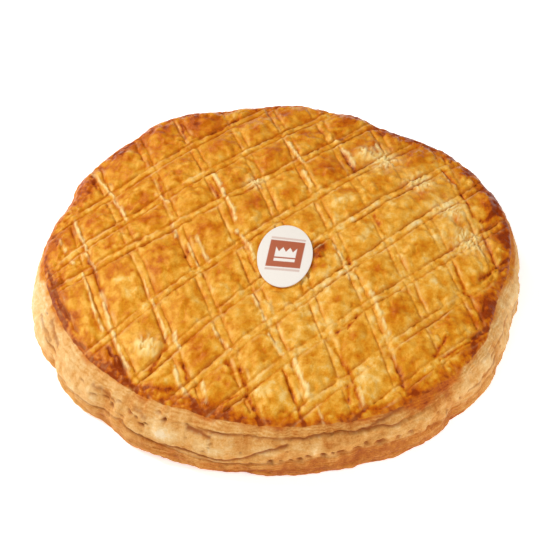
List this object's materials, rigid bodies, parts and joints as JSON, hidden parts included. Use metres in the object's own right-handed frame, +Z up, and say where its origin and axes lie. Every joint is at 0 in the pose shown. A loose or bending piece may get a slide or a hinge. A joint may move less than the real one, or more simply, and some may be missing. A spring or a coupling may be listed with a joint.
{
  "type": "galette des rois",
  "caption": "Round domed puff pastry cake with a glazed crust scored in a double-line lattice and an oval paper label lying on top.",
  "frame": {"origin": "centre of the bounding box's plan, on the flat underside", "axes": "+Z up out of the crust, +Y towards the back, +X to the right when the label is upright"},
  "size_m": [0.2538, 0.2578, 0.0376],
  "materials": {
    "crust": "baked puff pastry: egg-glazed golden crust, browned rim, pale flaky side",
    "paper": "matt white card with a printed terracotta field"
  },
  "bodies": {
    "root": {"galette": "crust", "label": "paper"}
  },
  "joints": []
}
